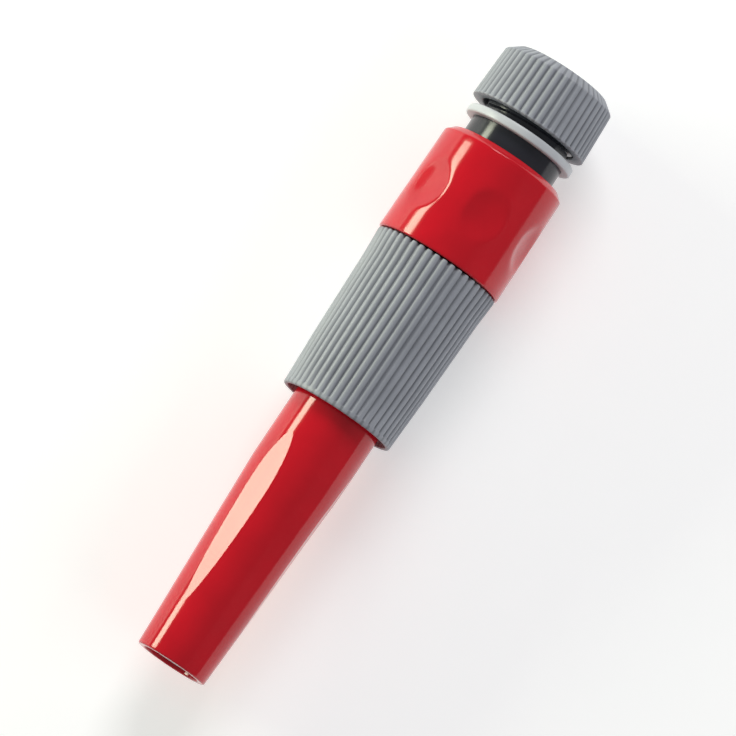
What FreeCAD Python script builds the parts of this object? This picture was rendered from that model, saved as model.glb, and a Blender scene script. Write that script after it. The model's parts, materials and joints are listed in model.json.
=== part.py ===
import FreeCAD, Part
import math
import os

# Garden spray nozzle snapped into its quick-release hose connector.
# The water axis is +X, from the hose end at x = 0 to the outlet. Units are millimetres.
# The nozzle lies on its side: +Z is up.

V = FreeCAD.Vector
PARTS = "parts"

# ---- stations along the water axis ------------------------------------------------
NUT_FRONT = 15.2
FLANGE_REAR = 17.5
FLANGE_FRONT = 19.6
SLEEVE_REAR = 24.4
SLEEVE_FRONT = 53.2
COLLAR_REAR = 53.5
COLLAR_FRONT = 95.8
TIP_END = 164.7

# ---- fits --------------------------------------------------------------------------
RUNNING = 0.08        # radial play of a turning or sliding pair
LOOSE = 0.3           # gap between parts that pass each other without touching
SEAL_GAP = 0.03       # O-rings are drawn squeezed, this far clear of their bore
RING_GAP = 0.05       # gap on each side of a ring in its groove
PRESS_GAP = 0.02      # between parts that are pressed together
EDGE = 0.3            # small chamfer on an edge that is touched

# ---- hose nut ----------------------------------------------------------------------
HOSE_HOLE_R = 7.4     # clears a hose of 13.5 mm outside diameter
NUT_WALL = 3.0        # thickness of the rear wall around the hose
NUT_REAR_R = 11.8     # at the small end of the rear chamfer
NUT_CHAMFER = 2.2
NUT_R0 = 14.6
NUT_R1 = 15.15
NUT_RIBS = 48
NUT_RIB_DEPTH = 0.4
NUT_EDGE = 0.4        # chamfer at the open front edge
NUT_LIP_R = 9.55      # behind this lip the collet's flange is trapped
NUT_LIP_W = 0.35

# ---- clamping thread between nut and core ------------------------------------------
CLAMP_PITCH = 2.5
CLAMP_ROOT_R = 11.1   # core, under the ridge
CLAMP_CREST_R = 12.1  # core, on the ridge
CLAMP_BORE_R = 12.4   # nut, behind its ridge
CLAMP_INNER_R = 11.4  # nut, on its ridge
CLAMP_START = 11.4    # both ridges start here, half a turn apart
CLAMP_NUT_LENGTH = 2.6    # length of the ridge in the nut
CLAMP_CORE_LENGTH = 4.2   # length of the ridge on the core
SINK = 0.1            # how far a thread ridge is sunk into its wall
CUP_REAR = 10.2

# ---- collet ------------------------------------------------------------------------
COLLET_REAR = 3.4
COLLET_BASE = 8.6     # where the fingers grow out of the base ring
COLLET_FRONT = 12.7
COLLET_BORE_R = 6.75
COLLET_CONE_R0 = 7.75
COLLET_CONE_R1 = 9.2
COLLET_FLANGE_R = 9.8
COLLET_FLANGE_X = 9.4
COLLET_TAIL_R = 8.8
COLLET_SIDE_PLAY = 0.15   # each side of the flange in the nut
FINGERS = 8
FINGER_SLOT = 1.2

# ---- core: barb, threaded cup and neck, with the flange ring snapped on ----------------
WATER_R = 3.3
BARB_TIP = 4.0
BARB_ROOT_R = 4.6
BARB_CREST_R = 5.1
BARB_STEP = 2.6
BARB_COUNT = 3
CUP_BORE_R = 9.1
CUP_FLOOR = 13.2
FLANGE_R = 14.25
FLANGE_BEAD_R = 12.45 # bead on the core that holds the flange ring
FLANGE_BEAD_W = 0.8
NECK_R = 12.1
NECK_FRONT = 27.6
SPIGOT_R = 7.0
SPIGOT_FRONT = 31.0
SPIGOT_SEAL_X = 29.8  # middle of the O-ring between core and barrel
SPIGOT_SEAL_CORD_R = 0.58
SPIGOT_GROOVE_W = 1.6
SPIGOT_GROOVE_DEPTH = 1.15

# ---- barrel: socket for the nozzle, carries spring, stop ring and claws --------------
BARREL_R = 10.2
BARREL_FIT = 0.06     # radial gap of the glued joint on the core's spigot
BARREL_EDGE = 0.6
BARREL_FRONT = 52.4
SOCKET_R = 8.0
SOCKET_MOUTH_R = 8.95
SOCKET_STEP = 39.2
STOP_GROOVE_REAR = 38.0
STOP_GROOVE_FRONT = 39.2
STOP_GROOVE_DEPTH = 0.7
STOP_RING_PROUD = 1.1 # how far the stop ring stands out of the barrel
STOP_RING_GAP = 2.4   # opening that lets it spring over the barrel
CLAW_COUNT = 3
CLAW_SLOT_FRONT = 50.9
CLAW_SLOT_W = 5.8
CLAW_W = 5.0
CLAW_PIVOT_X = 41.4
CLAW_PIVOT_R = 10.2
CLAW_HEEL_R = 1.1
CLAW_SHANK = (44.5, 11.6)     # (x, radius) where the back starts to rise
CLAW_BACK_REAR = 47.4         # the back touches the sleeve's ramp from here
CLAW_BACK_FRONT = 49.0
CLAW_BACK_R = 12.55
CLAW_NOSE = (49.9, 11.8)
CLAW_HOOK_REAR = 47.2
CLAW_HOOK_R = 7.5             # bottom of the hook, in the nozzle's groove
CLAW_HOOK_RISE = 0.45         # lead-in at the front of the hook

# ---- release sleeve -----------------------------------------------------------------
SLEEVE_R0 = 16.0
SLEEVE_R1 = 16.3
SLEEVE_CHAMFER = 1.5
SLEEVE_TRAVEL = 4.5
SLEEVE_EDGE = 0.4
SLEEVE_GUIDE_FRONT = 26.6     # front end of the bore that slides on the neck
SEAT_REAR = 36.0      # spring seat inside the sleeve
SEAT_FRONT = 37.7
RAMP_REAR = 46.0
RAMP_FRONT = 47.5 + SLEEVE_TRAVEL
RAMP_R0 = 12.95
RAMP_R1 = 14.75
DIMPLES = 6
DIMPLE_X = 40.3
DIMPLE_L = 13.0
DIMPLE_W = 10.0
DIMPLE_DEPTH = 1.15
DIMPLE_ROUND = 1.15   # sideways stretch of the scoop that gives the sleeve's curve its width
DIMPLE_ANGLE = 79.0   # first dimple, from +Y towards +Z

# ---- sleeve spring ------------------------------------------------------------------
SPRING_WIRE_R = 0.45
SPRING_TURNS = 4
SPRING_MEAN_R = 11.1
SPRING_GAP = 0.02     # at each seat

# ---- nozzle body and nipple ---------------------------------------------------------
NIPPLE_REAR = 31.4
NIPPLE_BORE_R = 4.2
NIPPLE_SEAL_X = 35.1
NIPPLE_SEAL_CORD_R = 0.93
NIPPLE_GROOVE_W = 2.2
NIPPLE_GROOVE_R = 6.1
NIPPLE_LAND_FRONT = 38.0
BEAD_R = 8.6
BEAD_REAR = 42.5
BEAD_FRONT = 46.6
GROOVE_R = 7.1
GROOVE_FRONT = 50.6
SHOULDER_FRONT = 56.6
SHOULDER_R = 13.3
JOURNAL_R = 9.4
JOURNAL_FRONT = 62.6
SNAP_GROOVE_REAR = 60.0
SNAP_GROOVE_FRONT = 61.4
SNAP_SEAT_R = 8.6
SNAP_RING_R = 10.9
SNAP_RING_GAP = 2.6
GUIDE_R = 8.2
GUIDE_FRONT = 88.0
KEYS = 3
KEY_W = 2.6
KEY_R = 9.7
KEY_FRONT = 77.0
SLIDE_SEAL_X = 85.0
SLIDE_SEAL_CORD_R = 0.9
SLIDE_GROOVE_W = 2.0
SLIDE_GROOVE_R = 6.7
SPIDER_R = 5.3        # seat in the guide tube for the spindle's spoked hub
SPIDER_REAR = 80.1
SPIDER_FRONT = 87.6

# ---- collar -------------------------------------------------------------------------
COLLAR_PROFILE = ((COLLAR_REAR, 16.05), (60.0, 15.6), (82.0, 15.05), (COLLAR_FRONT, 14.5))
COLLAR_BORE_R = 13.6
COLLAR_WEB_REAR = 57.0
COLLAR_WEB_FRONT = 59.8
COLLAR_RIBS = 46
COLLAR_RIB_DEPTH = 0.5
COLLAR_EDGE = 0.6
MOUTH_R = 13.4
MOUTH_TAPER_X = 84.0

# ---- adjusting thread between collar and tip ------------------------------------------
ADJUST_PITCH = 6.0
ADJUST_ROOT_R = 12.0
ADJUST_CREST_R = 13.2
ADJUST_INNER_R = 12.3
ADJUST_TRAVEL = 6.0   # one full turn of the collar
ADJUST_COLLAR_LENGTH = 12.0
ADJUST_TIP_LENGTH = 12.6
TIP_REAR = 64.0
ADJUST_START = TIP_REAR + 1.7
TIP_FLANGE_FRONT = 80.0
TIP_STOP_X = TIP_FLANGE_FRONT + ADJUST_TRAVEL + 0.4
TIP_STOP_W = 1.2
TIP_STOP_SEAT = 0.4   # depth of its groove in the collar
TIP_STOP_R = 12.4
TIP_STOP_GAP = 3.0

# ---- tip tube -----------------------------------------------------------------------
TIP_ROOT_R = 11.2
TIP_TAPER_X = 113.7
TIP_END_R = 9.05
TIP_BORE_R = 8.6      # slides over the seal of the guide tube
TIP_BORE_STEP = 96.0  # front end of the sealing bore
TIP_BORE_LIP = 0.6    # steps in at both ends of the bore's long taper
TIP_BORE_END_R = 7.3
TIP_EDGE = 0.3
FLATS = 3
FLAT_START = 105.0
FLAT_DEEP = 119.5
FLAT_END = 151.5
FLAT_DEPTH = 0.40
FLAT_ANGLE = 125.5    # first flat, from +Y towards +Z

# ---- outlet -------------------------------------------------------------------------
OUTLET_REAR = 156.4
OUTLET_FRONT = 163.7
OUTLET_R = 3.3
SEAT_R = 4.8          # bore that the spindle's seal closes
HEAD_R = 4.3
HEAD_GROOVE_R = 3.3
HEAD_GROOVE_X = 157.6
HEAD_GROOVE_W = 1.6
HEAD_SEAL_CORD_R = 0.72
HEAD_NOSE = ((0.8, HEAD_R), (2.4, 2.9), (3.4, 1.2), (3.8, 0))     # (beyond the groove, radius)
ROD_REAR_R = 1.6
ROD_R = 2.5
ROD_FRONT_R = 2.2
ROD_FRONT = 150.0
SPOKES = 4
SPOKE_W = 1.4
HUB_WALL = 0.9
OUTLET_LEAD = 1.0     # lead-in at the rear of the seat
OUTLET_EDGE = 0.5
OUTLET_LAND = 1.4     # length of the jet hole's straight part
OUTLET_CONE = 1.5     # length of the cone from the seat to the jet hole


def turned(points):
    """Solid of revolution about the water axis from (x, radius) pairs of its outline."""
    corners = [V(x, r, 0) for x, r in points]
    face = Part.Face(Part.makePolygon(corners + corners[:1]))
    return face.revolve(V(0, 0, 0), V(1, 0, 0), 360)


def groove(x, width, land_r, floor_r):
    """Four outline points of a square groove or bead, rear to front."""
    x0 = x - width / 2
    x1 = x + width / 2
    return [(x0, land_r), (x0, floor_r), (x1, floor_r), (x1, land_r)]


def tube(x0, x1, inner, outer):
    """Plain ring or tube."""
    return turned([(x0, inner), (x1, inner), (x1, outer), (x0, outer)])


def torus(x, mean_r, cord_r):
    """O-ring about the water axis."""
    return Part.makeTorus(mean_r, cord_r, V(x, 0, 0), V(1, 0, 0))


def seal(x, bore_r, cord_r):
    """O-ring squeezed to just inside the bore that it seals."""
    return torus(x, bore_r - SEAL_GAP - cord_r, cord_r)


def block(x0, x1, y0, y1, z0, z1):
    """Box between two corners."""
    return Part.makeBox(x1 - x0, y1 - y0, z1 - z0, V(x0, y0, z0))


def turn(shape, degrees):
    """Copy of a shape turned about the water axis."""
    copy = shape.copy()
    copy.rotate(V(0, 0, 0), V(1, 0, 0), degrees)
    return copy


def around(shape, count, first=0.0):
    """Copies of a shape spaced evenly about the water axis."""
    return [turn(shape, first + 360.0 * k / count) for k in range(count)]


def helix_ridge(x0, x1, pitch, base_r, crest_r, base_w, crest_w, start=0.0):
    """Right-hand thread ridge about the water axis, from base_r to crest_r."""
    line = Part.makeHelix(pitch, x1 - x0, base_r)
    half_base = base_w / 2
    half_crest = crest_w / 2
    corners = [V(base_r, 0, -half_base), V(crest_r, 0, -half_crest)]
    corners += [V(crest_r, 0, half_crest), V(base_r, 0, half_base)]
    outline = Part.makePolygon(corners + corners[:1])
    ridge = Part.Wire(line.Edges).makePipeShell([outline], True, True)
    ridge.rotate(V(0, 0, 0), V(0, 1, 0), 90)
    ridge.translate(V(x0, 0, 0))
    ridge.rotate(V(0, 0, 0), V(1, 0, 0), start)
    return ridge


def rib_cutters(profile, count, depth, first=0.0):
    """Vee grooves that leave ribs along a tapering grip."""
    cutters = []
    for (x0, r0), (x1, r1) in zip(profile, profile[1:]):
        wires = []
        for x, r in ((x0, r0), (x1, r1)):
            half = math.pi * r / count * 0.75
            low = V(x, 0, r - depth)
            left = V(x, -half, r + depth * 0.5)
            right = V(x, half, r + depth * 0.5)
            wires.append(Part.makePolygon([low, left, right, low]))
        cutters += around(Part.makeLoft(wires, True, True), count, first)
    return cutters


def hose_nut():
    outline = [(0, HOSE_HOLE_R), (0, NUT_REAR_R), (NUT_CHAMFER, NUT_R0)]
    outline += [(NUT_FRONT - NUT_EDGE, NUT_R1), (NUT_FRONT, NUT_R1 - NUT_EDGE)]
    pocket_rear = COLLET_BASE - COLLET_SIDE_PLAY
    pocket_front = COLLET_FLANGE_X + COLLET_SIDE_PLAY
    pocket_r = COLLET_FLANGE_R + 0.2
    lip_front = pocket_front + NUT_LIP_W
    outline += [(NUT_FRONT, CLAMP_BORE_R), (lip_front, CLAMP_BORE_R), (lip_front, NUT_LIP_R)]
    outline += [(pocket_front, NUT_LIP_R), (pocket_front, pocket_r), (pocket_rear, pocket_r)]
    outline += [(pocket_rear, COLLET_CONE_R1 + LOOSE)]
    outline += [(NUT_WALL, COLLET_CONE_R0 + LOOSE), (NUT_WALL, HOSE_HOLE_R)]
    body = turned(outline)
    grip = [(NUT_CHAMFER + 0.8, NUT_R0 + 0.03), (NUT_FRONT - 0.9, NUT_R1)]
    body = body.cut(Part.makeCompound(rib_cutters(grip, NUT_RIBS, NUT_RIB_DEPTH)))
    ridge = helix_ridge(CLAMP_START, CLAMP_START + CLAMP_NUT_LENGTH, CLAMP_PITCH, CLAMP_BORE_R + SINK,
                        CLAMP_INNER_R, 1.4, 0.7, 180)
    return body.fuse(ridge)


def collet():
    outline = [(COLLET_REAR, COLLET_BORE_R), (COLLET_REAR, COLLET_CONE_R0)]
    outline += [(COLLET_BASE, COLLET_CONE_R1), (COLLET_BASE, COLLET_FLANGE_R)]
    outline += [(COLLET_FLANGE_X, COLLET_FLANGE_R), (COLLET_FLANGE_X, COLLET_TAIL_R)]
    outline += [(COLLET_FRONT, COLLET_TAIL_R), (COLLET_FRONT, COLLET_BORE_R)]
    ring = turned(outline)
    half = FINGER_SLOT / 2
    slot = block(COLLET_REAR - 1, COLLET_BASE - 0.4, -half, half, 4, COLLET_FLANGE_R + 1)
    return ring.cut(Part.makeCompound(around(slot, FINGERS, 22.5)))


def coupler_core():
    outline = [(BARB_TIP, WATER_R), (BARB_TIP, BARB_ROOT_R - EDGE)]
    x = BARB_TIP
    for k in range(BARB_COUNT):
        x += BARB_STEP
        outline += [(x, BARB_CREST_R), (x, BARB_ROOT_R)]
    outline += [(CUP_FLOOR, BARB_ROOT_R), (CUP_FLOOR, CUP_BORE_R), (CUP_REAR, CUP_BORE_R)]
    outline += [(CUP_REAR, CLAMP_ROOT_R - EDGE), (CUP_REAR + EDGE, CLAMP_ROOT_R)]
    outline += [(FLANGE_REAR, CLAMP_ROOT_R), (FLANGE_REAR, NECK_R)]
    outline += groove((FLANGE_REAR + FLANGE_FRONT) / 2, FLANGE_BEAD_W, NECK_R, FLANGE_BEAD_R)
    outline += [(NECK_FRONT, NECK_R), (NECK_FRONT, SPIGOT_R), (SPIGOT_FRONT, SPIGOT_R)]
    outline += [(SPIGOT_FRONT, WATER_R)]
    core = turned(outline)
    half = SPIGOT_GROOVE_W / 2
    seat_r = SPIGOT_R - SPIGOT_GROOVE_DEPTH
    seal_seat = tube(SPIGOT_SEAL_X - half, SPIGOT_SEAL_X + half, seat_r, SPIGOT_R + 1)
    ridge = helix_ridge(CLAMP_START, CLAMP_START + CLAMP_CORE_LENGTH, CLAMP_PITCH, CLAMP_ROOT_R - SINK,
                        CLAMP_CREST_R, 1.6, 0.8)
    return core.cut(seal_seat).fuse(ridge)


def flange_ring():
    bore_r = NECK_R + PRESS_GAP
    outline = [(FLANGE_REAR, bore_r), (FLANGE_REAR, FLANGE_R - EDGE)]
    outline += [(FLANGE_REAR + EDGE, FLANGE_R), (FLANGE_FRONT - EDGE, FLANGE_R)]
    outline += [(FLANGE_FRONT, FLANGE_R - EDGE), (FLANGE_FRONT, bore_r)]
    middle = (FLANGE_REAR + FLANGE_FRONT) / 2
    bead_space = groove(middle, FLANGE_BEAD_W + 2 * PRESS_GAP, bore_r, FLANGE_BEAD_R + PRESS_GAP)
    return turned(outline + bead_space[::-1])


def barrel_o_ring():
    return seal(SPIGOT_SEAL_X, SPIGOT_R + BARREL_FIT, SPIGOT_SEAL_CORD_R)


def coupler_barrel():
    outline = [(NECK_FRONT, SPIGOT_R + BARREL_FIT), (NECK_FRONT, BARREL_R)]
    outline += [(BARREL_FRONT - BARREL_EDGE, BARREL_R), (BARREL_FRONT, BARREL_R - BARREL_EDGE)]
    outline += [(BARREL_FRONT, SOCKET_MOUTH_R + EDGE), (BARREL_FRONT - EDGE, SOCKET_MOUTH_R)]
    outline += [(SOCKET_STEP, SOCKET_MOUTH_R), (SOCKET_STEP - 1.0, SOCKET_R)]
    seat = SPIGOT_FRONT + 0.2
    outline += [(seat, SOCKET_R), (seat, SPIGOT_R + BARREL_FIT)]
    barrel = turned(outline)
    stop_seat = tube(STOP_GROOVE_REAR, STOP_GROOVE_FRONT, BARREL_R - STOP_GROOVE_DEPTH, BARREL_R + 1)
    half = CLAW_SLOT_W / 2
    slot = block(CLAW_PIVOT_X, CLAW_SLOT_FRONT, -half, half, 6, 14)
    slot = slot.fuse(claw_heel(CLAW_HEEL_R + RUNNING, CLAW_SLOT_W))
    return barrel.cut(stop_seat).cut(Part.makeCompound(around(slot, CLAW_COUNT)))


def claw_heel(radius, width):
    """Round heel of a claw, which rocks in a seat of the barrel."""
    return Part.makeCylinder(radius, width, V(CLAW_PIVOT_X, -width / 2, CLAW_PIVOT_R), V(0, 1, 0))


def sleeve_stop_ring():
    x0 = STOP_GROOVE_REAR + RING_GAP
    x1 = STOP_GROOVE_FRONT - RING_GAP
    ring = tube(x0, x1, BARREL_R - STOP_GROOVE_DEPTH, BARREL_R + STOP_RING_PROUD)
    return ring.cut(block(x0 - 1, x1 + 1, -STOP_RING_GAP / 2, STOP_RING_GAP / 2, -14, -8))


def sleeve_spring():
    x0 = NECK_FRONT + SPRING_WIRE_R + SPRING_GAP
    x1 = SEAT_REAR - SPRING_WIRE_R - SPRING_GAP
    line = Part.makeHelix((x1 - x0) / SPRING_TURNS, x1 - x0, SPRING_MEAN_R)
    ring = Part.Wire(Part.makeCircle(SPRING_WIRE_R, V(SPRING_MEAN_R, 0, 0), V(0, 1, 0)))
    coil = Part.Wire(line.Edges).makePipeShell([ring], True, True)
    coil.rotate(V(0, 0, 0), V(0, 1, 0), 90)
    coil.translate(V(x0, 0, 0))
    return coil


def release_sleeve():
    outline = [(SLEEVE_REAR, NECK_R + RUNNING), (SLEEVE_REAR, SLEEVE_R0 - SLEEVE_CHAMFER)]
    outline += [(SLEEVE_REAR + SLEEVE_CHAMFER, SLEEVE_R0), (SLEEVE_FRONT - SLEEVE_EDGE, SLEEVE_R1)]
    outline += [(SLEEVE_FRONT, SLEEVE_R1 - SLEEVE_EDGE), (SLEEVE_FRONT, RAMP_R1)]
    outline += [(RAMP_FRONT, RAMP_R1), (RAMP_REAR, RAMP_R0), (SEAT_FRONT, RAMP_R0)]
    outline += [(SEAT_FRONT, BARREL_R + LOOSE), (SEAT_REAR, BARREL_R + LOOSE)]
    outline += [(SEAT_REAR, NECK_R + LOOSE), (SLEEVE_GUIDE_FRONT, NECK_R + LOOSE)]
    outline += [(SLEEVE_GUIDE_FRONT, NECK_R + RUNNING)]
    sleeve = turned(outline)
    return sleeve.cut(Part.makeCompound(around(dimple_cutter(), DIMPLES, DIMPLE_ANGLE - 90)))


def dimple_cutter():
    """Oval scoop pressed into the top of the sleeve."""
    r = (SLEEVE_R0 + SLEEVE_R1) / 2
    # Sphere of the scoop's length, then narrowed across to the scoop's width.
    ball_r = ((DIMPLE_L / 2) ** 2 + DIMPLE_DEPTH ** 2) / (2 * DIMPLE_DEPTH)
    ball = Part.makeSphere(ball_r)
    narrow = FreeCAD.Matrix()
    narrow.A22 = DIMPLE_W / DIMPLE_L * DIMPLE_ROUND
    scoop = ball.transformGeometry(narrow)
    scoop.translate(V(DIMPLE_X, 0, r + ball_r - DIMPLE_DEPTH))
    keep = block(DIMPLE_X - DIMPLE_L, DIMPLE_X + DIMPLE_L, -DIMPLE_W, DIMPLE_W, 10, 20)
    return scoop.common(keep)


def claw():
    """One locking claw at the top of the barrel, hinged on the heel at its rear."""
    low = CLAW_PIVOT_R - CLAW_HEEL_R
    front = CLAW_NOSE[0]
    profile = [(CLAW_PIVOT_X, low), (CLAW_PIVOT_X, CLAW_PIVOT_R + CLAW_HEEL_R), CLAW_SHANK]
    profile += [(CLAW_BACK_REAR, CLAW_BACK_R), (CLAW_BACK_FRONT, CLAW_BACK_R), CLAW_NOSE]
    profile += [(front, CLAW_HOOK_R + CLAW_HOOK_RISE), (front - 0.5, CLAW_HOOK_R)]
    profile += [(CLAW_HOOK_REAR, CLAW_HOOK_R), (CLAW_HOOK_REAR - 0.2, low)]
    corners = [V(x, -CLAW_W / 2, z) for x, z in profile]
    face = Part.Face(Part.makePolygon(corners + corners[:1]))
    lever = face.extrude(V(0, CLAW_W, 0)).fuse(claw_heel(CLAW_HEEL_R, CLAW_W))
    # The hook is hollowed to the nozzle groove, and the back is rounded to the sleeve.
    lever = lever.cut(rod_space(GROOVE_R + LOOSE, front + 1))
    lever = lever.cut(rod_space(SOCKET_MOUTH_R + RING_GAP, CLAW_HOOK_REAR - 0.2))
    return lever.common(rod_space(CLAW_BACK_R + RING_GAP, front + 1))


def rod_space(radius, x1):
    """Cylinder about the water axis, from behind the claws to x1."""
    x0 = CLAW_PIVOT_X - 2 * CLAW_HEEL_R
    return Part.makeCylinder(radius, x1 - x0, V(x0, 0, 0), V(1, 0, 0))


def nozzle_body():
    land = SOCKET_R - RUNNING
    outline = [(NIPPLE_REAR, NIPPLE_BORE_R), (NIPPLE_REAR, land - 0.9), (NIPPLE_REAR + 0.9, land)]
    outline += groove(NIPPLE_SEAL_X, NIPPLE_GROOVE_W, land, NIPPLE_GROOVE_R)
    outline += [(NIPPLE_LAND_FRONT, land), (NIPPLE_LAND_FRONT + 0.4, land - EDGE)]
    outline += [(BEAD_REAR - 1.2, land - EDGE), (BEAD_REAR, BEAD_R)]
    outline += [(BEAD_FRONT, BEAD_R), (BEAD_FRONT, GROOVE_R), (GROOVE_FRONT, GROOVE_R)]
    shoulder_rear = SLEEVE_FRONT + 0.5
    outline += [(GROOVE_FRONT, BEAD_R), (shoulder_rear, BEAD_R), (shoulder_rear, SHOULDER_R)]
    journal = JOURNAL_R - RUNNING
    outline += [(SHOULDER_FRONT, SHOULDER_R), (SHOULDER_FRONT, journal)]
    snap_x = (SNAP_GROOVE_REAR + SNAP_GROOVE_FRONT) / 2
    outline += groove(snap_x, SNAP_GROOVE_FRONT - SNAP_GROOVE_REAR, journal, SNAP_SEAT_R)
    outline += [(JOURNAL_FRONT, journal), (JOURNAL_FRONT, GUIDE_R)]
    outline += groove(SLIDE_SEAL_X, SLIDE_GROOVE_W, GUIDE_R, SLIDE_GROOVE_R)
    hub_seat = SPIDER_REAR - 0.1
    outline += [(GUIDE_FRONT, GUIDE_R), (GUIDE_FRONT, SPIDER_R), (hub_seat, SPIDER_R)]
    outline += [(hub_seat, NIPPLE_BORE_R)]
    body = turned(outline)
    key = block(JOURNAL_FRONT - 0.5, KEY_FRONT, -KEY_W / 2, KEY_W / 2, 6, KEY_R)
    for rib in around(key, KEYS):
        body = body.fuse(rib)
    return body


def nipple_o_ring():
    return seal(NIPPLE_SEAL_X, SOCKET_R, NIPPLE_SEAL_CORD_R)


def collar_snap_ring():
    x0 = SNAP_GROOVE_REAR + 2 * RING_GAP
    x1 = SNAP_GROOVE_FRONT - 2 * RING_GAP
    ring = tube(x0, x1, SNAP_SEAT_R + RING_GAP, SNAP_RING_R)
    return ring.cut(block(x0 - 1, x1 + 1, -SNAP_RING_GAP / 2, SNAP_RING_GAP / 2, 7, 12))


def slide_o_ring():
    return seal(SLIDE_SEAL_X, TIP_BORE_R, SLIDE_SEAL_CORD_R)


def collar():
    rear, front = COLLAR_PROFILE[0], COLLAR_PROFILE[-1]
    outline = [(rear[0], SHOULDER_R + RUNNING), (rear[0], rear[1] - EDGE), (rear[0] + EDGE, rear[1])]
    outline += list(COLLAR_PROFILE[1:-1])
    outline += [(front[0] - COLLAR_EDGE, front[1]), (front[0], front[1] - COLLAR_EDGE)]
    outline += [(front[0], MOUTH_R), (MOUTH_TAPER_X, COLLAR_BORE_R)]
    outline += [(COLLAR_WEB_FRONT, COLLAR_BORE_R), (COLLAR_WEB_FRONT, JOURNAL_R)]
    outline += [(COLLAR_WEB_REAR, JOURNAL_R), (COLLAR_WEB_REAR, SHOULDER_R + RUNNING)]
    shell = turned(outline)
    grip = [(rear[0] + 0.2, rear[1] + 0.02)] + list(COLLAR_PROFILE[1:-1])
    grip += [(front[0] - 0.9, front[1] + 0.02)]
    shell = shell.cut(Part.makeCompound(rib_cutters(grip, COLLAR_RIBS, COLLAR_RIB_DEPTH)))
    seat_r = COLLAR_BORE_R + TIP_STOP_SEAT
    shell = shell.cut(tube(TIP_STOP_X, TIP_STOP_X + TIP_STOP_W, COLLAR_BORE_R - 1, seat_r))
    end = ADJUST_START + ADJUST_COLLAR_LENGTH
    ridge = helix_ridge(ADJUST_START, end, ADJUST_PITCH, COLLAR_BORE_R + SINK,
                        ADJUST_INNER_R, 3.1, 2.4, 180)
    return shell.fuse(ridge)


def tip_stop_ring():
    x0 = TIP_STOP_X + RING_GAP
    x1 = TIP_STOP_X + TIP_STOP_W - RING_GAP
    ring = tube(x0, x1, TIP_STOP_R, COLLAR_BORE_R + TIP_STOP_SEAT - RING_GAP)
    return ring.cut(block(x0 - 1, x1 + 1, -TIP_STOP_GAP / 2, TIP_STOP_GAP / 2, -16, -10))


def tip_radius(x):
    """Outside radius of the tip tube."""
    if x <= TIP_TAPER_X:
        return TIP_ROOT_R
    return TIP_ROOT_R + (TIP_END_R - TIP_ROOT_R) * (x - TIP_TAPER_X) / (TIP_END - TIP_TAPER_X)


def flat_cutter():
    """Wedge that shaves a lens-shaped flat from the top of the tip tube."""
    deep = tip_radius(FLAT_DEEP) - FLAT_DEPTH
    path = [(FLAT_START, TIP_ROOT_R + 0.02), (FLAT_DEEP, deep), (FLAT_END, tip_radius(FLAT_END) + 0.02)]
    corners = [V(x, -14, z) for x, z in path]
    corners += [V(FLAT_END, -14, 20), V(FLAT_START, -14, 20)]
    face = Part.Face(Part.makePolygon(corners + corners[:1]))
    return face.extrude(V(0, 28, 0))


def tip_tube():
    outline = [(TIP_REAR, TIP_BORE_R), (TIP_REAR, ADJUST_ROOT_R), (TIP_FLANGE_FRONT, ADJUST_ROOT_R)]
    outline += [(TIP_FLANGE_FRONT, TIP_ROOT_R), (TIP_TAPER_X, TIP_ROOT_R)]
    outline += [(TIP_END - TIP_EDGE, TIP_END_R), (TIP_END, TIP_END_R - TIP_EDGE)]
    outline += [(TIP_END, TIP_BORE_END_R), (OUTLET_REAR, TIP_BORE_END_R)]
    outline += [(OUTLET_REAR, TIP_BORE_END_R - TIP_BORE_LIP)]
    outline += [(TIP_BORE_STEP + 2.0, TIP_BORE_R - TIP_BORE_LIP), (TIP_BORE_STEP, TIP_BORE_R)]
    body = turned(outline)
    slot = block(TIP_REAR - 1, KEY_FRONT + 1.0, -KEY_W / 2 - LOOSE, KEY_W / 2 + LOOSE, 5, KEY_R + LOOSE)
    body = body.cut(Part.makeCompound(around(slot, KEYS)))
    ridge = helix_ridge(ADJUST_START, ADJUST_START + ADJUST_TIP_LENGTH, ADJUST_PITCH, ADJUST_ROOT_R - SINK,
                        ADJUST_CREST_R, 3.2, 2.4)
    body = body.fuse(ridge)
    return body.cut(Part.makeCompound(around(flat_cutter(), FLATS, FLAT_ANGLE - 90)))


def outlet_ring():
    wall = TIP_BORE_END_R - PRESS_GAP
    rear = OUTLET_REAR + PRESS_GAP
    outline = [(rear, SEAT_R + 0.8), (rear, wall), (OUTLET_FRONT, wall)]
    x = OUTLET_FRONT - OUTLET_EDGE
    outline += [(OUTLET_FRONT, OUTLET_R + OUTLET_EDGE), (x, OUTLET_R)]
    outline += [(x - OUTLET_LAND, OUTLET_R), (x - OUTLET_LAND - OUTLET_CONE, SEAT_R)]
    outline += [(OUTLET_REAR + OUTLET_LEAD, SEAT_R)]
    return turned(outline)


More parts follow.
